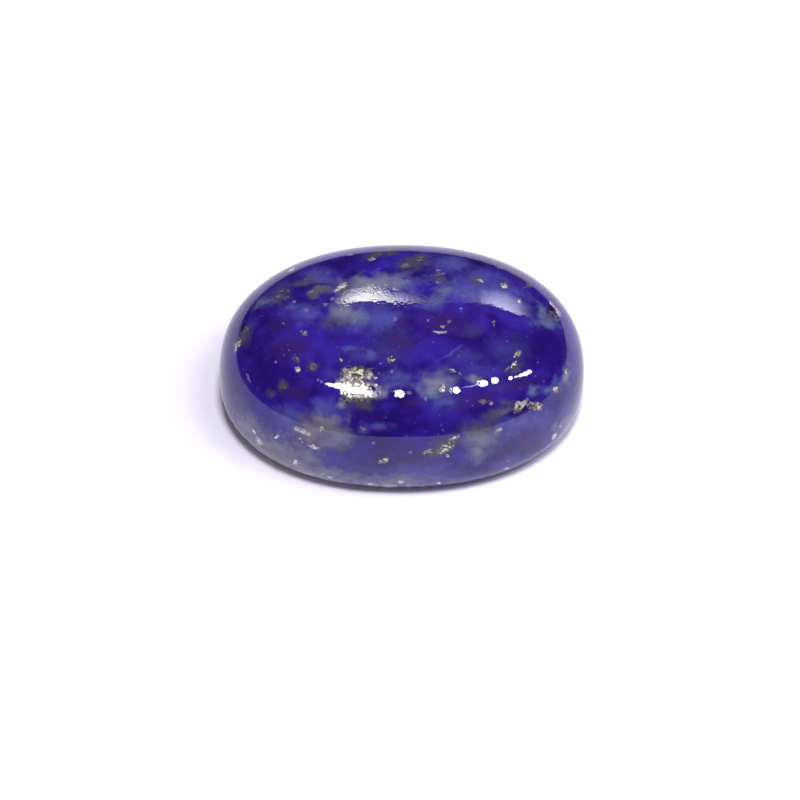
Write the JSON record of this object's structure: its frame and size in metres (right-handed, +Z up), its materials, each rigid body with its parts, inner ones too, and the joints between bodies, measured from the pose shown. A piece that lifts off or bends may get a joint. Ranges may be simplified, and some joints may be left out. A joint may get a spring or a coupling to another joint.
{
  "type": "oval lapis lazuli cabochon",
  "caption": "Polished oval cabochon of lapis lazuli: a high smooth dome on a low side that curves in below, with a small bevel round its flat back.",
  "frame": {"origin": "centre of the flat back, on the surface that the stone rests on", "axes": "+X along the long axis of the oval, +Y along its short axis, +Z up through the top of the dome"},
  "size_m": [0.018, 0.013, 0.0066],
  "materials": {
    "lapis": "high polish, deep blue with grey calcite clouds and brassy pyrite"
  },
  "bodies": {
    "root": {"cabochon": "lapis"}
  },
  "joints": []
}
